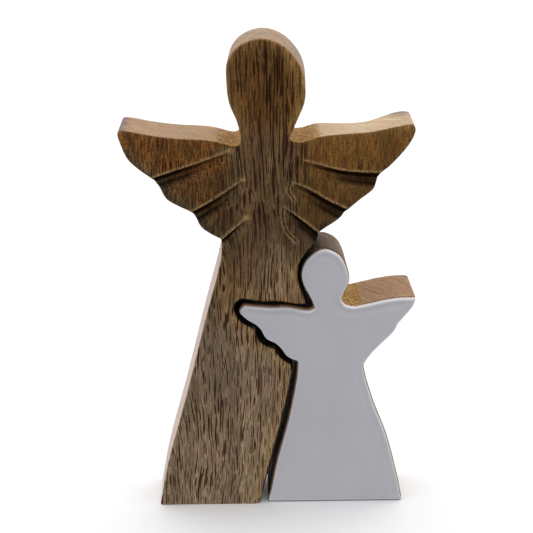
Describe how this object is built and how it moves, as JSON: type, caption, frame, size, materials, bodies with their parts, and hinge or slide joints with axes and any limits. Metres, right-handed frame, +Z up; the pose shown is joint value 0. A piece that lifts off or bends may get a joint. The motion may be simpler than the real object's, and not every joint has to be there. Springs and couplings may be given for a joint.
{
  "type": "angel figurine",
  "caption": "Flat sawn wooden angel with carved feather wings and a recess at its side, where a smaller angel with an enamelled front stands and pulls out.",
  "frame": {"origin": "on the ground, below the centre of the box round both figures", "axes": "+Z up, +X to the side that the small figure stands on, -Y towards the viewer, out of the carved front"},
  "size_m": [0.1196, 0.0264, 0.2],
  "materials": {
    "stained_wood": "open-grained wood, stained brown and waxed on its front, lighter on its sawn edges",
    "plain_wood": "open-grained wood, sanded and lightly waxed",
    "enamel": "thick glossy white enamel with a rounded edge"
  },
  "bodies": {
    "large_angel": {"large_angel": "stained_wood"},
    "small_angel": {"small_angel": "plain_wood", "enamel_coat": "enamel"}
  },
  "joints": [
    {"name": "small_angel_pull", "type": "slide", "parent": "large_angel", "child": "small_angel", "axis": [0, -1, 0], "range_m": [-0.035, 0.035]}
  ]
}
